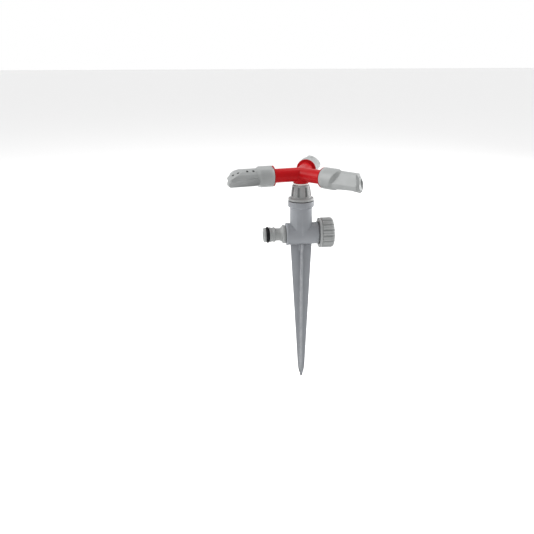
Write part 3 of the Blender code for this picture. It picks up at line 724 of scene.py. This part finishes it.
def rotor_arms():
    boss = turned(rounded([
        (0, HUB_BOSS_LOW), (HUB_BOSS_R, HUB_BOSS_LOW, 0.5), (HUB_BOSS_R, HUB_Z - 3, 1.0),
        (TUBE_R - 1.2, HUB_Z + 3.5, 1.0), (0, HUB_Z + 5),
    ]))
    rotor = place("rotor_fine", boss)
    for i, side in enumerate(SIDES):
        twist = Matrix.Rotation(math.radians(0.5 + 0.4 * i), 4, "Z")
        join(rotor, arm_form(), arm_matrix(ARM_ANGLES[side]) @ twist)
    ball = bmesh.new()
    bmesh.ops.create_uvsphere(ball, u_segments=40, v_segments=21, radius=CHAMBER_BALL_R)
    cut(rotor, ball, Matrix.Translation((0, 0, HUB_Z)))
    for side in SIDES:
        cut(rotor, cylinder(TUBE_BORE_R, 2.0, SPIGOT_END + 5, 48), arm_matrix(ARM_ANGLES[side]))
    cut(rotor, turned([
        (0, HUB_BOSS_LOW - 5), (SPINDLE_R + GAP, HUB_BOSS_LOW - 5),
        (SPINDLE_R + GAP, SPINDLE_TOP + GAP), (SPINDLE_BORE_R, SPINDLE_TOP + GAP),
        (SPINDLE_BORE_R, HUB_Z - 1), (0, HUB_Z - 1),
    ], 50))
    finish_shading(rotor)
    return present(rotor, "rotor", "rotor_plastic", RED, "rotor_arms")


def ray_length(angle):
    """Distance from the arm's axis to the nozzle's outline, at an angle up from v."""
    along = Vector((math.cos(angle), math.sin(angle)))
    count = len(NOZZLE_OUTLINE)
    for i in range(count):
        a = Vector(NOZZLE_OUTLINE[i])
        b = Vector(NOZZLE_OUTLINE[(i + 1) % count])
        edge = b - a
        cross = along.x * edge.y - along.y * edge.x
        if abs(cross) < 1e-9:
            continue
        reach = (a.x * edge.y - a.y * edge.x) / cross
        part = (a.x * along.y - a.y * along.x) / cross
        if reach > 0 and -1e-6 <= part <= 1 + 1e-6:
            return reach
    return NOZZLE_COLLAR_R


def smooth_outline(spread=1.1):
    """The outline's reach at every sample angle, with its corners rounded."""
    reach = np.array([ray_length(math.tau * i / NOZZLE_SAMPLES) for i in range(NOZZLE_SAMPLES)])
    window = int(spread * 3)
    offsets = np.arange(-window, window + 1)
    weights = np.exp(-0.5 * (offsets / spread) ** 2)
    weights /= weights.sum()
    return sum(w * np.roll(reach, k) for w, k in zip(weights, offsets))


OUTLINE_REACH = smooth_outline()


def shoulder(angle):
    """Where along the arm the round collar starts to give way to the outline, at an angle."""
    away = angle - math.radians(PANEL_ANGLE)
    share = ease(1.6 * math.cos(away))
    return SHOULDER_START + share * (PANEL_SET_BACK - PANEL_SLANT * math.sin(away))


def nozzle_ring(u):
    """One ring of the nozzle's outer surface, as (v, w, u) points."""
    ring = []
    tip = ease((u - TIP_START) / (NOZZLE_END - TIP_START) * 0.8)
    top = SLOPE_TOP - SLOPE * max(0.0, u - SLOPE_START)
    lip = 0.35 * max(0.0, 1 - (u - NOZZLE_IN) / 0.4)
    for i in range(NOZZLE_SAMPLES):
        angle = math.tau * i / NOZZLE_SAMPLES
        part = min(1.0, max(0.0, (u - shoulder(angle)) / SHOULDER_LENGTH))
        reach = NOZZLE_COLLAR_R - lip + (OUTLINE_REACH[i] - NOZZLE_COLLAR_R) * part
        v = reach * math.cos(angle)
        w = reach * math.sin(angle)
        over = TOP_LEAN[0] * v + TOP_LEAN[1] * w - top
        if over > 0:
            w -= over / TOP_LEAN[1]
        v *= 1 - TIP_SHRINK * tip
        w = (w + TIP_DROP) * (1 - TIP_SHRINK * tip) - TIP_DROP
        back = END_SKEW * ease((u - END_SKEW_START) / 10) * ease(-v / 8)
        ring.append((v, w, u - back))
    return ring


def scoop_cutter():
    """A round-ended rod that hollows the nozzle's flank from its shoulder to its tip."""
    rounding = [
        (SCOOP_R * math.sin(math.radians(turn)), SCOOP_R * (1 - math.cos(math.radians(turn))))
        for turn in range(0, 91, 6)
    ]
    return turned(rounding + [(SCOOP_R, NOZZLE_END), (0, NOZZLE_END)], 72)


def scoop_matrix():
    across, up = SCOOP_AXIS
    return (Matrix.Translation((across, up, SCOOP_START))
            @ Matrix.Rotation(math.radians(SCOOP_DIP), 4, "X"))


def nozzle_cavity():
    groove_r = NOZZLE_SPIGOT_R + SPIGOT_BEAD + GAP
    groove_low = SPIGOT_END - 3.0
    return turned([
        (0, NOZZLE_IN - 5), (NOZZLE_BORE_R, NOZZLE_IN - 5), (NOZZLE_BORE_R, groove_low - 0.5),
        (groove_r, groove_low), (groove_r, SPIGOT_END + 0.4),
        (NOZZLE_BORE_R - 3.5, SHOULDER_START), (3.4, SLOPE_START - 0.5),
        (1.8, CAVITY_END - 0.5), (0, CAVITY_END),
    ], 64)


def jet_matrix(place_u):
    lean = math.radians(12 + 38 * ease((place_u - 56) / 16))
    up = Matrix.Rotation(math.radians(JET_ANGLE), 4, "Z")
    tilt = Matrix.Rotation(math.radians(90) - lean, 4, "Y")
    start = place_u - 8.0 * math.sin(lean) * 0.75
    return Matrix.Translation((0, 0, start)) @ up @ tilt


def jet_mouth(place_u):
    """A countersink that widens a jet where it leaves the nozzle."""
    surface = JET_SURFACE_R - JET_SURFACE_SLOPE * max(0.0, place_u - SLOPE_START)
    mouth_r = JET_R + COUNTERSINK
    return turned([
        (0, surface - 1.4), (JET_R, surface - 0.9), (mouth_r, surface),
        (mouth_r, JET_REACH), (0, JET_REACH),
    ], JET_STEPS)


def nozzles():
    """One nozzle is modelled along Z, and its mesh is then laid along each arm."""
    fine_start = SHOULDER_START - 2.5
    coarse_start = SHOULDER_START + 11.0
    stations = [NOZZLE_IN, NOZZLE_IN + 0.15, NOZZLE_IN + 0.4, NOZZLE_IN + 5.6]
    stations += [fine_start + 0.25 * i for i in range(52)]
    stations += [coarse_start + 0.5 * i for i in range(37)]
    stations += [TIP_START + 0.2 * i for i in range(15)]
    master = place("nozzle_master", lofted([nozzle_ring(u) for u in stations]))
    cut(master, scoop_cutter(), scoop_matrix())
    cut(master, nozzle_cavity())
    for spot in JET_PLACES:
        cut(master, cylinder(JET_R, 0.5, JET_REACH, JET_STEPS), jet_matrix(spot))
        cut(master, jet_mouth(spot), jet_matrix(spot))
    lay = Matrix(((0, 0, 1, 0), (1, 0, 0, 0), (0, 1, 0, 0), (0, 0, 0, 1)))
    for side in SIDES:
        mesh = master.data.copy()
        swivel = Matrix.Rotation(math.radians(NOZZLE_SWIVEL[side]), 4, "X")
        turn = Matrix.Rotation(math.radians(ARM_ANGLES[side]), 4, "Z")
        mesh.transform(Matrix.Translation((0, 0, HUB_Z * MM)) @ turn @ swivel @ lay)
        thing = bpy.data.objects.new(f"nozzle_fine_{side}", mesh)
        bpy.context.scene.collection.objects.link(thing)
        finish_shading(thing, 42)
        present(thing, f"nozzle_{side}", "fitting_plastic", FITTING, f"nozzle_{side}")
    bpy.data.objects.remove(master, do_unlink=True)


def carried_over():
    """CAD nodes whose shape is right: they only get a finished material."""
    finishes = {
        "nipple_gasket": RUBBER, "outlet_gasket": RUBBER, "spindle_seal": RUBBER,
        "upper_thrust_washer": SLIP, "lower_thrust_washer": SLIP, "rotor_spindle": RED,
    }
    for side in SIDES:
        finishes[f"nozzle_o_ring_{side}"] = RUBBER
    for node, finish in finishes.items():
        mesh = frame["nodes"][node].data
        mesh.materials.clear()
        mesh.materials.append(finish)


# ---------------------------------------------------------------- studio

def stage_material(name, colour, roughness):
    made = bpy.data.materials.new(name)
    made.use_nodes = True
    shader = made.node_tree.nodes["Principled BSDF"]
    shader.inputs["Base Color"].default_value = (*colour, 1.0)
    shader.inputs["Roughness"].default_value = roughness
    shader.inputs["Specular IOR Level"].default_value = 0.1
    return made


def floor():
    mesh = bpy.data.meshes.new("floor")
    half = 12.0
    low = SPIKE_TIP * MM - 0.0005
    mesh.from_pydata([(-half, -half, low), (half, -half, low), (half, half, low),
                      (-half, half, low)], [], [(0, 1, 2, 3)])
    thing = bpy.data.objects.new("floor", mesh)
    bpy.context.scene.collection.objects.link(thing)
    mesh.materials.append(stage_material("floor_white", (0.86, 0.86, 0.86), 0.7))


def area_light(name, spot, target, width, height, power):
    data = bpy.data.lights.new(name, "AREA")
    data.shape = "RECTANGLE"
    data.size = width
    data.size_y = height
    data.energy = power
    lamp = bpy.data.objects.new(name, data)
    lamp.location = spot
    lamp.rotation_euler = (Vector(target) - Vector(spot)).to_track_quat("-Z", "Y").to_euler()
    bpy.context.scene.collection.objects.link(lamp)


def lights():
    middle = (0, 0, 0)
    area_light("side_left", (-1.2, 0.1, 0.55), middle, 0.5, 1.0, 14.0)
    area_light("side_right", (1.2, 0.3, 0.45), middle, 0.5, 1.0, 18.0)
    area_light("top_soft", (-0.1, 0.1, 1.2), middle, 0.9, 0.9, 7.0)
    world = bpy.data.worlds.new("studio")
    world.use_nodes = True
    background = world.node_tree.nodes["Background"]
    background.inputs["Color"].default_value = (1.0, 1.0, 1.0, 1.0)
    background.inputs["Strength"].default_value = 1.0
    bpy.context.scene.world = world


def camera():
    azimuth = math.radians(CAMERA_AZIMUTH)
    elevation = math.radians(CAMERA_ELEVATION)
    pitch = math.radians(CAMERA_PITCH)
    away = Vector((math.sin(azimuth) * math.cos(elevation),
                   -math.cos(azimuth) * math.cos(elevation), math.sin(elevation)))
    data = bpy.data.cameras.new("camera")
    data.sensor_width = 36.0
    data.lens = CAMERA_LENS
    data.shift_x = -SIDE_OFFSET_PX / FRAME_PX
    data.clip_start = 0.01
    eye = bpy.data.objects.new("camera", data)
    eye.location = (Vector((0, 0, HUB_Z)) + away * CAMERA_DISTANCE) * MM
    eye.rotation_euler = (math.radians(90) - pitch, 0, azimuth)
    bpy.context.scene.collection.objects.link(eye)
    bpy.context.scene.camera = eye


bpy.context.scene.view_settings.view_transform = "Standard"
camera()
lights()
floor()
tee_body()
ground_spike()
inlet_nipple()
ring_seal("nipple_seal_fine", "base", O_RING_R, O_RING_CORD_R, O_RING_X, ALONG_X, "nipple_o_ring")
outlet_cap()
bearing_housing()
ring_seal("housing_seal_fine", "head_travel", HEAD_SEAL_R, HEAD_SEAL_CORD_R,
          FLANGE_LOW - GAP - HEAD_SEAL_CORD_R, None, "housing_o_ring")
rotor_arms()
nozzles()
carried_over()
